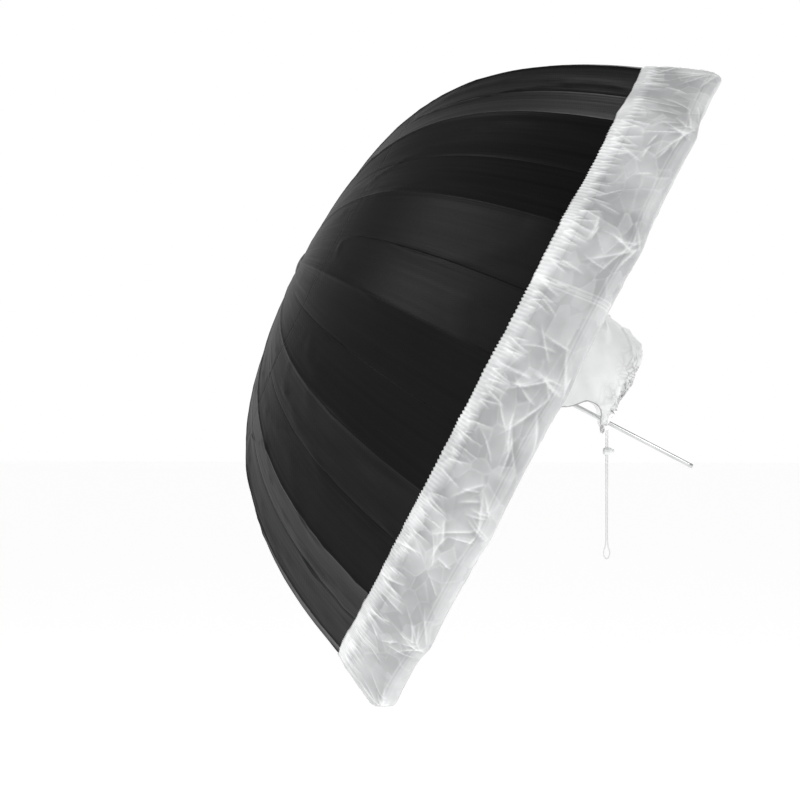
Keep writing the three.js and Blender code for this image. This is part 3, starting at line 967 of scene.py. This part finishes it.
@dataclass
class Canopy:
    """The black canopy: sixteen gores, cut at the ribs' bend so that it folds with them.

    Attributes:
        finishes: The umbrella's finishes.
        split: Share of the profile where a rib bends.
        hole: Share of the profile where the fabric starts under the crown cap.
        columns: Faces across a petal.
        rows: Faces along the inner and the outer petal.
        fabric: The cloth's thickness.
        seam_rise: How far the seam stands up over a rib.
        seam_width: The seam's half width.
        folded_width: Not used; meant as the share of its width that a petal keeps when folded.
    """

    finishes: Finishes
    split: float = 0.45
    hole: float = 0.007
    columns: int = 28
    rows: tuple[int, int] = (30, 48)
    fabric: float = 0.0004
    seam_rise: float = 0.0011
    seam_width: float = 0.0024
    folded_width: float = 0.045

    def build(self) -> None:
        """Makes every petal."""
        for rib in range(RIB_COUNT):
            self.make_petal(rib, "inner", self.hole, self.split, self.rows[0])
            self.make_petal(rib, "outer", self.split, 1.0, self.rows[1])

    @staticmethod
    def spread(share: float) -> float:
        """Returns a share across a petal with its columns closer at the rib and at both borders."""
        return close_ends(share * 2) / 2

    @staticmethod
    def billow(angle: float, share: float) -> float:
        """Returns the height of the long soft folds between two ribs."""
        slack = math.sin(math.pi * gore_phase(angle)) * smooth(share, 0.12, 0.5)
        return 0.0030 * cloth_noise(angle, share, 5.0, 2.2) * slack

    def relief(self, angle: float, share: float) -> float:
        """Returns the height of seams, creases and tension folds at a point of the canopy."""
        part = gore_phase(angle)
        radius = BOWL.profile(share).y
        off_rib = min(part, 1 - part) * GORE * radius
        off_fold = abs(part - 0.5) * GORE * radius
        seam = self.seam_rise * math.exp(-((off_rib / self.seam_width) ** 2))
        fold = -0.0007 * math.exp(-((off_fold / 0.004) ** 2)) * smooth(share, 0.2, 0.5)
        long_folds = self.billow(angle, share)
        lean = angle + 0.16 * (share - 0.6) * math.sin(angle * 3.0)
        pulls = 0.0008 * cloth_noise(angle, share, 22.0, 3.0, 9.0) * smooth(share, 0.1, 0.4)
        pulls += 0.0019 * crease(cloth_noise(lean, share, 8.0, 3.2, 19.0), 0.06) * smooth(share, 0.2, 0.5)
        low = smooth(-math.cos(angle), -0.1, 0.5)
        drag = crease(cloth_noise(lean, share, 6.0, 11.0, 29.0), 0.08)
        pulls += 0.0022 * low * drag * smooth(share, 0.3, 0.6)
        pucker = 0.0005 * cloth_noise(angle, share, 3.0, 90.0, 4.0) * math.exp(-off_rib / 0.02)
        return seam + fold + long_folds + pulls + pucker

    def make_petal(self, rib: int, part: str, start: float, end: float, rows: int) -> None:
        """Makes one petal, from the middle of one gore to the middle of the next.

        Args:
            rib: Number of its rib from the top, from 0.
            part: Which length of the rib it rides on.
            start: Share of the profile where it starts.
            end: Share of the profile where it ends.
            rows: Faces along it.
        """
        middle = rib * GORE
        number = f"{rib + 1:02d}"

        def place(across: float, along: float) -> Vector:
            """Places a point of the petal."""
            return BOWL.point(mix(start, end, close_ends(along)), middle + (self.spread(across) - 0.5) * GORE)

        def relief(across: float, along: float) -> tuple[float, float]:
            """Gives the petal's creases."""
            angle = middle + (self.spread(across) - 0.5) * GORE
            return self.relief(angle, mix(start, end, close_ends(along))), 0.5

        form = sheet_grid(self.columns, rows, place, relief, lambda point: point - Vector((0.2, 0, 0)))
        petal = finish_mesh(form, f"gore_{part}_{number}", Axes.UMBRELLA)
        petal.data.materials.append(self.finishes.canopy)
        petal.data.materials.append(self.finishes.lining)
        length, area = self.cut(start, end)
        width = GORE * max(BOWL.profile(mix(start, end, step / 40)).y for step in range(41))
        thicken(petal, self.fabric, 1)
        rib_node = f"rib_{part}_{number}"
        attach(petal, rib_node, "canopy_black")
        tuple(TO_ROW @ BOWL.point(end, middle))
        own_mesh(petal)
        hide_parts("canopy")

    @staticmethod
    def cut(start: float, end: float, steps: int = 40) -> tuple[float, float]:
        """Returns the length and the area of a petal's flat cut, between two shares of the profile."""
        places = [BOWL.profile(mix(start, end, step / steps)) for step in range(steps + 1)]
        runs = [(a, b, (b - a).length) for a, b in zip(places, places[1:])]
        return sum(run for _, _, run in runs), sum(GORE * (a.y + b.y) / 2 * run for a, b, run in runs)


@dataclass(frozen=True)
class Fold:
    """One sharp fold of the skirt, on the unrolled cloth.

    Attributes:
        around: Where it starts, round the rim.
        back: Where it starts, back from the rim.
        heading: Which way it runs: 0 along the rim, a quarter turn straight back.
        length: How long it is.
        height: How high it stands.
        width: Half width of its steep flank.
        bow: How much it bends, as one over a radius.
    """

    around: float
    back: float
    heading: float
    length: float
    height: float
    width: float
    bow: float

    def rise(self, around: float, back: float) -> tuple[float, float]:
        """Returns the fold's height and its painted shade: a painted highlight on the ridge, one flank
        lighter and the other darker, at a point of the cloth.
        """
        ahead, beside = around - self.around, back - self.back
        cos, sin = math.cos(self.heading), math.sin(self.heading)
        run = ahead * cos + beside * sin
        if not 0 < run < self.length:
            return 0.0, 0.0
        aside = beside * cos - ahead * sin - self.bow * run * (self.length - run)
        taper = math.sin(math.pi * (run / self.length) ** 0.7)
        flank = abs(aside) / self.width
        if aside > 0:
            flank /= 1.7
        if flank > 9:
            return 0.0, 0.0
        sharp = math.exp(-flank)
        # Painted highlight on the ridge; painted light and shade on the two flanks.
        tone = 0.38 * math.exp(-flank * flank * 2.0) + (0.16 if aside > 0 else -0.16) * math.exp(-flank / 3.5)
        return self.height * taper * sharp, taper * tone


@dataclass
class FoldField:
    """All the folds of the skirt, in the bins of the rim that they reach.

    Attributes:
        girth: The rim's length.
        depth: The skirt's depth.
        bins: Number of bins round the rim.
        blades: Number of folds in the fan at each rib tip.
        gathers: Number of gathers that run in from the hem.
        loose: Number of loose folds between them.
        folds: The folds in each bin.
    """

    girth: float
    depth: float
    bins: int = 160
    blades: int = 8
    gathers: int = 430
    loose: int = 170
    folds: list[list[Fold]] = field(init=False)

    def __post_init__(self) -> None:
        """Lays out fans from the rib tips, gathers from the hem and loose folds between them."""
        self.folds = [[] for _ in range(self.bins)]
        draw = random.Random(16)
        quarter = math.pi / 2
        for tip in range(RIB_COUNT):
            for blade in range(self.blades):
                self.add(Fold(tip * self.girth / RIB_COUNT + draw.gauss(0, 0.012), draw.uniform(0.002, 0.022),
                              0.2 + (math.pi - 0.4) * (blade + draw.uniform(-0.5, 0.5)) / (self.blades - 1),
                              draw.uniform(0.025, 0.105), draw.uniform(0.0008, 0.0028),
                              draw.uniform(0.0014, 0.0025), draw.uniform(-3, 3)))
        for _ in range(self.gathers):
            self.add(Fold(draw.uniform(0, self.girth), self.depth - draw.uniform(0.0, 0.010),
                          -quarter + draw.uniform(-0.35, 0.35), draw.uniform(0.014, 0.055),
                          draw.uniform(0.0006, 0.0018), draw.uniform(0.0012, 0.0020), draw.uniform(-4, 4)))
        for _ in range(self.loose):
            self.add(Fold(draw.uniform(0, self.girth), draw.uniform(0.015, 0.085),
                          draw.choice((quarter, quarter, 0.0)) + draw.gauss(0.0, 0.45),
                          draw.uniform(0.025, 0.085),
                          draw.uniform(0.0010, 0.0032), draw.uniform(0.0014, 0.0028), draw.uniform(-5, 5)))

    def add(self, fold: Fold) -> None:
        """Puts a fold in every bin that it reaches."""
        size = self.girth / self.bins
        ends = (fold.around, fold.around + math.cos(fold.heading) * fold.length)
        first, last = int((min(ends) - 0.03) // size), int((max(ends) + 0.03) // size)
        for place in range(first, last + 1):
            self.folds[place % self.bins].append(fold)

    def rise(self, around: float, back: float) -> tuple[float, float]:
        """Returns the height and painted shade of the folds at a point of the cloth."""
        height = tone = 0.0
        around %= self.girth
        for fold in self.folds[int(around / self.girth * self.bins) % self.bins]:
            near = around + round((fold.around - around) / self.girth) * self.girth
            one, light = fold.rise(near, back)
            height = max(height, one) + 0.35 * min(height, one)
            # The folds' painted shade adds up here.
            tone = tone + light * (1 - abs(tone))
        return height, tone


@dataclass
class DiffuserCover:
    """The white cover: a crumpled skirt over the rim, its ruffled elastic hem and the stretched face.

    Attributes:
        finishes: The umbrella's finishes.
        lift: How far the cloth stands off the canopy.
        fold: Radius of the turn from skirt to face at the rim.
        lip: How far the skirt's cloth runs on over the face.
        seam: Distance of the rim seam from the rim.
        join_angle: Where the strip's two ends are joined.
        panel_grid: Faces round and across one length of the skirt.
        face_grid: Faces round and across the face.
        band: Width of the ruffled band before the skirt's depth ends.
        overhang: How far the band runs on behind it.
        overlap: How far the skirt runs on under the band.
        tuck: How far the face runs on under the skirt's lip.
        turned: Share of the band's length that shows, before it turns under.
        ruffles: Number of ruffles round the hem.
        ring_radius: Radius of the hood's ring.
        ring_up: Height of the ring's centre over the shaft.
        cloth: The cloth's thickness.
        puff: How far the skirt stands off near the rim.
        hang: How far it hangs off at the bottom.
    """

    finishes: Finishes
    lift: float = 0.0030
    fold: float = 0.012
    lip: float = 0.018
    seam: float = 0.018
    join_angle: float = math.radians(76.5)
    panel_grid: tuple[int, int] = (620, 72)
    face_grid: tuple[int, int] = (512, 84)
    band: float = 0.022
    overhang: float = 0.008
    overlap: float = 0.004
    tuck: float = 0.003
    turned: float = 0.78
    ruffles: int = 560
    ring_radius: float = 0.105
    ring_up: float = 0.075
    cloth: float = 0.0003
    puff: float = 0.010
    hang: float = 0.024
    wall: list[float] = field(init=False)
    depth: float = field(init=False)
    folds: FoldField = field(init=False)

    def __post_init__(self) -> None:
        """Measures the profile back from the rim, in steps of a millimetre, and lays out the folds."""
        self.wall = [1.0]
        share, run = 1.0, 0.0
        while BOWL.profile(share).x > BOWL.face_x - BOWL.setback - 0.02:
            step = 0.0004
            run += (BOWL.profile(share) - BOWL.profile(share - step)).length
            share -= step
            if run >= 0.001:
                self.wall.append(share)
                run -= 0.001
        hem = BOWL.share_at(BOWL.face_x - BOWL.setback)
        self.depth = sum(0.001 for entry in self.wall if entry > hem)
        self.folds = FoldField(2 * math.pi * BOWL.rim_radius, self.depth)

    def build(self) -> None:
        """Makes the skirt with its hem, then the face."""
        hem = self.make_hem()
        for number in range(4):
            panel = self.make_panel(number)
        face = self.make_face()

    def wall_point(self, angle: float, back: float, lift: float) -> Vector:
        """Returns a point on the canopy's side, a distance back from the rim."""
        steps = clamp(back * 1000, 0, len(self.wall) - 1.001)
        index = int(steps)
        share = mix(self.wall[index], self.wall[index + 1], steps - index)
        return BOWL.point(share, angle, lift + Canopy.billow(angle, share))

    def rim_point(self, angle: float, back: float) -> Vector:
        """Returns a point of the cover near the rim; back is negative over the face."""
        corner = self.wall_point(angle, 0, self.lift + self.belly(angle, 0))
        corner.x += self.lift
        if back >= self.fold:
            return self.wall_point(angle, back - self.lift, self.lift + self.belly(angle, back))
        ahead = corner - Vector((0, corner.y, corner.z)).normalized() * max(self.fold, -back)
        if back <= -self.fold:
            ahead.x = mix(corner.x, BOWL.face_x + self.lift, smooth(-back, 0, 0.09))
            return ahead
        behind = self.wall_point(angle, self.fold - self.lift, self.lift + self.belly(angle, self.fold))
        turn = (back + self.fold) / (2 * self.fold)
        return ahead.lerp(corner, turn).lerp(corner.lerp(behind, turn), turn)

    def belly(self, angle: float, back: float) -> float:
        """Returns how far the slack cloth stands off behind the rim, most at the bottom where it hangs."""
        slack = mix(self.puff, self.hang, smooth(-math.cos(angle), 0.7, 0.98))
        to_hem = clamp((self.depth - back) / self.depth) ** 0.8
        return mix(0.6 * self.puff, slack, smooth(back, 0, 0.03)) * to_hem

    def skirt_relief(self, angle: float, back: float) -> tuple[float, float]:
        """Gives the skirt's creases and its painted shade.

        Args:
            angle: Turn from the top.
            back: Distance back from the rim.

        Returns:
            The height of the creases and the cloth's painted shade.
        """
        slack = smooth(back, 0.002, 0.014)
        billow = cloth_noise(angle, back, 5.5, 11, 51)
        # light carries the folds' painted highlights and painted shade.
        ridge, light = self.folds.rise(angle * BOWL.rim_radius, back)
        gathered = smooth(back, self.depth - 0.022, self.depth - 0.003)
        pleat = self.ruffle(angle + 0.004 * cloth_noise(angle, back, 20, 20, 3))
        height = slack * (ridge + 0.0022 * smooth(billow, -0.2, 0.5)) + 0.0016 * gathered * pleat
        height += 0.0003 * slack * (1 + cloth_noise(angle, back, 60, 70, 23))
        facet, crack = crumple_cells(angle, back)
        crack *= smooth(cloth_noise(angle, back, 10, 12, 44), -0.15, 0.3)
        height += 0.0009 * slack * crack
        seam = sum(math.exp(-(((back - place) / 0.0013) ** 2)) for place in (self.seam, self.seam + 0.005))
        off_join = abs((angle - self.join_angle + 0.03 * (back - 0.06)) % (math.pi / 2)) * BOWL.rim_radius
        off_join = min(off_join, math.pi / 2 * BOWL.rim_radius - off_join)
        join = math.exp(-((off_join / 0.002) ** 2)) + math.exp(-(((off_join - 0.006) / 0.0014) ** 2))
        height += 0.0005 * seam + 0.0007 * join
        # Painted shade: grey where the cloth lies on the black canopy and shows it through, lighter where it
        # billows off.
        flat = 0.12 + 0.2 * smooth(billow, -0.35, 0.45) + 0.12 * cloth_noise(angle, back, 20, 24, 61)
        # Painted see-through: lighter near the rim, where no canopy lies behind the cloth; the hem's band
        # lighter still, with painted highlights on its ruffles.
        edge = 0.28 * (1 - smooth(back, self.seam - 0.006, self.seam + 0.002))
        edge += gathered * (0.34 + 0.36 * pleat)
        # Painted highlights on the folds, the seams and the join, partly the doubled cloth there; painted
        # shade per crumple facet and painted highlights along their edges.
        return height, clamp(flat + light + edge + 0.2 * seam + 0.25 * join + 0.05 * facet + 0.14 * crack)

    def make_panel(self, number: int) -> bpy.types.Object:
        """Makes one of the skirt's four joined lengths, from the lip on the face back to the hem.

        Args:
            number: Its place round the rim, from 0.

        Returns:
            The length of skirt.
        """
        around, across = self.panel_grid
        start = self.join_angle + number * math.pi / 2

        def spot(turn: float, along: float) -> tuple[float, float]:
            """Returns the angle and the distance back from the rim."""
            return start + turn * math.pi / 2, mix(-self.lip, self.depth - self.band + self.overlap, along)

        form = sheet_grid(
            around, across,
            lambda turn, along: self.rim_point(*spot(turn, along)),
            lambda turn, along: self.skirt_relief(*spot(turn, along)),
            lambda point: Vector((0, point.y, point.z)))
        panel = finish_mesh(form, f"cover_skirt_{number + 1}", Axes.UMBRELLA)
        panel.data.materials.append(self.finishes.diffuser)
        thicken(panel, self.cloth)
        return attach(panel, "cover", "cover_white", "cover")

    def ruffle(self, angle: float) -> float:
        """Returns how far the hem bunches up at an angle, from 0 to about 1."""
        uneven = 0.55 + 0.45 * cloth_noise(angle, 0, 34, 0, 71)
        return uneven * (0.5 + 0.5 * math.cos(angle * self.ruffles + 4.5 * cloth_noise(angle, 0, 16, 0, 75)))

    def make_hem(self) -> bpy.types.Object:
        """Makes the ruffled band over the elastic, which runs on from the skirt and turns under."""
        end = self.depth + self.overhang

        def spot(turn: float, along: float) -> tuple[float, float, float]:
            """Returns the angle, the distance back from the rim and how far the cloth has turned under."""
            angle = turn * 2 * math.pi
            edge = end + 0.0022 * self.ruffle(angle) + 0.002 * cloth_noise(angle, 0, 9, 0, 7)
            if along < self.turned:
                return angle, mix(self.depth - self.band, edge, along / self.turned), 0.0
            under = (along - self.turned) / (1 - self.turned)
            return angle, edge - 0.008 * under, under

        def place(turn: float, along: float) -> Vector:
            """Places a point of the band, out over the skirt's edge and back under itself."""
            angle, back, under = spot(turn, along)
            rounding = math.sqrt(1 - smooth(back, end - 0.003, end) * 0.9)
            lift = mix(0.0030 * rounding, 0.0006, smooth(under, 0, 0.3))
            return self.wall_point(angle, back - self.lift, lift + self.belly(angle, back) + 0.0003)

        def relief(turn: float, along: float) -> tuple[float, float]:
            """Carries the skirt's creases and painted shade on into the ruffles."""
            angle, back, under = spot(turn, along)
            height, shade = self.skirt_relief(angle, back)
            return height * (1 - smooth(under, 0, 0.3)), shade

        form = sheet_grid(self.ruffles * 6, 14, place, relief,
                          lambda point: Vector((0, point.y, point.z)), closed=True)
        hem = finish_mesh(form, "elastic_hem", Axes.UMBRELLA)
        hem.data.materials.append(self.finishes.diffuser)
        return attach(hem, "cover", "cover_white")

    def make_face(self) -> bpy.types.Object:
        """Makes the stretched front cloth, from under the skirt's lip to the hood's ring."""
        around, across = self.face_grid
        start = self.lip - self.tuck

        def place(turn: float, along: float) -> Vector:
            """Places a point of the face."""
            angle = turn * 2 * math.pi
            outer = self.rim_point(angle, -start)
            inner = wheel(BOWL.face_x + self.lift, self.ring_radius, angle) + Vector((0, 0, self.ring_up))
            point = outer.lerp(inner, along)
            gap = (outer - Vector((outer.x, 0, 0))).length * along
            point.x = mix(outer.x, inner.x, smooth(gap, 0, 0.08)) - 0.0008 - 0.004 * math.sin(math.pi * along)
            return point

        def relief(turn: float, along: float) -> tuple[float, float]:
            """Gives the face's tension folds and its painted shade: painted highlights on the folds, painted
            shadows of the ribs near the rim.
            """
            angle = turn * 2 * math.pi
            part = gore_phase(angle)
            near_ring = smooth(along, 0.45, 1.0)
            near_rim = 1 - smooth(along, 0.0, 0.3)
            pulls = crease(cloth_noise(angle, along, 13, 1.1, 81), 0.14) * near_ring
            tips = crease(cloth_noise(angle, along, 26, 2.0, 91), 0.16) * near_rim * smooth(along, 0.0, 0.04)
            slack = crease(cloth_noise(angle + along, along, 4.5, 3.5, 95), 0.07)
            # Painted shadow of the ribs, as seen through the cloth near the rim.
            ribs = math.exp(-((min(part, 1 - part) / 0.06) ** 2)) * (1 - smooth(along, 0.0, 0.5))
            height = 0.0028 * pulls + 0.0016 * tips + 0.0006 * slack
            height += 0.0018 * cloth_noise(angle, along, 3, 2.5, 99)
            # Painted highlights on the tension folds, less the painted rib shadows.
            return height * smooth(along, 0, 0.03) * (1 - smooth(along, 0.97, 1)), clamp(
                0.34 + 0.22 * max(pulls, tips) - 0.12 * ribs)

        form = sheet_grid(around, across, place, relief, lambda point: Vector((1, 0, 0)), closed=True)
        face = finish_mesh(form, "cover_face", Axes.UMBRELLA)
        face.data.materials.append(self.finishes.diffuser)
        thicken(face, self.cloth)
        return attach(face, "cover", "cover_white", "cover")


@dataclass
class LampHood:
    """The off-centre hood that draws closed round the shaft, with an arch under it for a bracket.

    Attributes:
        finishes: The umbrella's finishes.
        stations: Sections as (distance from the face, top, bottom), in metres.
        grid: Faces round and along the hood.
        pleats: Number of gathers drawn into the mouth.
        ring: The ring's distance from the face, radius and height over the shaft.
        arch: The edge of the bracket's arch as (distance from the face, height).
        cloth: The cloth's thickness.
    """

    finishes: Finishes
    stations: tuple[tuple[float, float, float], ...] = (
        (-0.001, 0.180, -0.030), (0.006, 0.178, -0.030), (0.020, 0.173, -0.029), (0.054, 0.168, -0.027),
        (0.088, 0.157, -0.024), (0.106, 0.142, -0.020), (0.111, 0.108, -0.017), (0.107, 0.074, -0.015),
        (0.109, 0.040, -0.012), (0.1105, 0.0095, -0.0100), (0.1125, 0.0070, -0.0085),
        (0.1150, 0.0072, -0.0190),
    )
    grid: tuple[int, int] = (288, 130)
    pleats: int = 28
    ring: tuple[float, float, float] = (0.0035, 0.1052, 0.075)
    arch: tuple[tuple[float, float], ...] = (
        (-0.010, -0.0275), (0.004, -0.024), (0.017, -0.0170), (0.033, -0.0083), (0.0445, 0.0018),
        (0.051, 0.0100), (0.057, 0.0160), (0.0647, 0.0186), (0.074, 0.0190), (0.082, 0.0172),
        (0.088, 0.0130), (0.0928, 0.0070),
        (0.0955, 0.0), (0.099, -0.006), (0.110, -0.020),
    )
    cloth: float = 0.0003

    def build(self) -> None:
        """Makes the hood, its ring and its arch's hem."""
        form = sheet_grid(*self.grid, self.place, self.relief, self.away, closed=True)
        self.cut_arch(form)
        border = self.arch_border(form)
        hood = finish_mesh(form, "lamp_hood", Axes.UMBRELLA)
        hood.data.materials.append(self.finishes.hood)
        hood.data.materials.append(self.finishes.hood_inside)
        thicken(hood, self.cloth, 1)
        attach(hood, "cover", "cover_white", "cover_hood")
        ahead, radius, up = self.ring
        ring = tube_along("hood_ring", [
            TO_ROW @ (wheel(BOWL.face_x + ahead, radius, turn * math.pi / 24) + Vector((0, 0, up)))
            for turn in range(48)], 0.0026, closed=True)
        arch_hem = tube_along("hood_arch_hem", [TO_ROW @ point for point in border[::3]], 0.0014)
        for piece in (ring, arch_hem):
            piece.data.materials.clear()
            piece.data.materials.append(self.finishes.elastic)
            attach(piece, "cover", "cover_white")

    def section(self, along: float) -> Vector:
        """Returns (distance from the face, centre height, radius) at a share of the hood's run."""
        last = len(self.stations) - 1
        place = along * last
        index = min(int(place), last - 1)
        near = [self.stations[min(max(index + step, 0), last)] for step in (-1, 0, 1, 2)]
        points = [Vector((x, (top + bottom) / 2, (top - bottom) / 2)) for x, top, bottom in near]
        t = place - index
        before, start, end, after = points
        return 0.5 * (2 * start + (end - before) * t + (2 * before - 5 * start + 4 * end - after) * t**2
                      + (3 * start - before - 3 * end + after) * t**3)

    def place(self, turn: float, along: float) -> Vector:
        """Places a point of the hood, with the gathers that run into its mouth."""
        angle = turn * 2 * math.pi
        x, centre, radius = self.section(along)
        drawn = smooth(along, 0.34, 0.62)
        wander = noise.noise(Vector((math.cos(angle) * 2, math.sin(angle) * 2, along * 2.2)))
        wave = math.cos(angle * self.pleats + 5.0 * wander)
        pinch = math.cos(angle * 9 + 3.0 * wander + 2.0)
        depth = drawn * min(0.0045, 0.10 * radius + 0.0006)
        reach = radius + depth * wave + drawn * min(0.006, 0.1 * radius) * pinch
        point = wheel(BOWL.face_x + x, reach, angle)
        point.z += centre
        flat_end = smooth(along, 0.42, 0.55) * (1 - smooth(along, 0.78, 0.85))
        point.x += flat_end * (0.0025 * wave + 0.0035 * pinch)
        return point

    def relief(self, turn: float, along: float) -> tuple[float, float]:
        """Gives the hood's folds, crumples and seams, and its painted shade."""
        angle = turn * 2 * math.pi
        x, _, radius = self.section(along)
        ring = Vector((math.cos(angle), math.sin(angle), 0))
        drawn = smooth(along, 0.3, 0.55)
        end = smooth(along, 0.36, 0.5)
        warp = 0.5 * noise.noise(ring * 2.3 + Vector((4.0, 0, along * 6)))
        slant = noise.noise(ring * (1.5 + warp) + Vector((x * 16, 0, along * 2.2)))
        soft = crease(slant, 0.2) * smooth(x, 0.004, 0.03)
        spot = ring * radius * 34 + Vector((x * 30, 3.1, warp * 2))
        deep = crease(noise.noise(spot), 0.16)
        crumples = crease(noise.noise(spot * 2.1), 0.2)
        fine = crease(noise.noise(spot * 4.3), 0.25)
        seams = sum(math.exp(-(((x - place) / 0.0011) ** 2)) for place in (0.009, 0.0145)) * (1 - drawn)
        height = 0.0042 * soft * (1 - 0.6 * drawn) + 0.0012 * seams - 0.0030 * deep * end
        height -= 0.0022 * crumples * end + 0.0009 * fine * drawn
        height += 0.0045 * noise.noise(spot * 0.8) * smooth(along, 0.1, 0.3)
        # Painted highlights on the soft folds and seams; painted shade in the deep creases, crumples and fine
        # creases.
        shade = 0.84 + 0.12 * soft + 0.2 * seams
        shade -= 0.3 * deep * end + 0.2 * crumples * end + 0.1 * fine * drawn
        return height * smooth(radius, 0.008, 0.045), clamp(shade)

    @staticmethod
    def away(point: Vector) -> Vector:
        """Returns the rough outward direction from the hood's middle."""
        return point - Vector((BOWL.face_x + 0.03, 0, 0.07))

    def arch_depth(self, x: float, z: float) -> float:
        """Returns how far a place is above the arch's edge, below 0 inside the arch."""
        x -= BOWL.face_x
        for (x0, z0), (x1, z1) in zip(self.arch, self.arch[1:]):
            if x <= x1:
                return z - mix(z0, z1, (x - x0) / (x1 - x0))
        return z + 1

    def cut_arch(self, form: bmesh.types.BMesh) -> None:
        """Cuts the arch out of the hood and draws the cut edge onto the arch's outline."""
        inside = [face for face in form.faces if all(self.arch_depth(v.co.x, v.co.z) < 0 for v in face.verts)]
        bmesh.ops.delete(form, geom=inside, context="FACES")
        step = 0.0008
        for vertex in form.verts:
            if not vertex.is_boundary or vertex.co.z > 0.04 or vertex.co.x < BOWL.face_x + 0.001:
                continue
            for _ in range(4):
                x, z = vertex.co.x, vertex.co.z
                over = self.arch_depth(x, z)
                if over > 0.02:
                    break
                slope_x = (self.arch_depth(x + step, z) - self.arch_depth(x - step, z)) / (2 * step)
                size = slope_x * slope_x + 1
                vertex.co.x -= over * slope_x / size
                vertex.co.z -= over / size

    def arch_border(self, form: bmesh.types.BMesh) -> list[Vector]:
        """Returns the points along the arch's cut edge, from one foot to the other."""
        edges = {edge for edge in form.edges if edge.is_boundary
                 and all(abs(self.arch_depth(v.co.x, v.co.z)) < 0.006 for v in edge.verts)}
        ends = [vertex for edge in edges for vertex in edge.verts
                if sum(e in edges for e in vertex.link_edges) == 1]
        vertex = min(ends, key=lambda entry: entry.index)
        border = [vertex.co.copy()]
        while following := [edge for edge in vertex.link_edges if edge in edges]:
            edges.discard(following[0])
            vertex = following[0].other_vert(vertex)
            border.append(vertex.co.copy())
        return border


# ---- assembly ----------------------------------------------------------------------------------


def main() -> None:
    """Builds the studio, the cord, the frame and the cloth."""
    logging.basicConfig(level=logging.INFO, format="%(message)s")
    Studio().build()
    finishes = Finishes()
    for assembly in (DrawCord(finishes), FrameMetal(finishes), Canopy(finishes), DiffuserCover(finishes),
                     LampHood(finishes)):
        LOG.info("building %s", type(assembly).__name__)
        assembly.build()


if __name__ == "__main__":
    main()
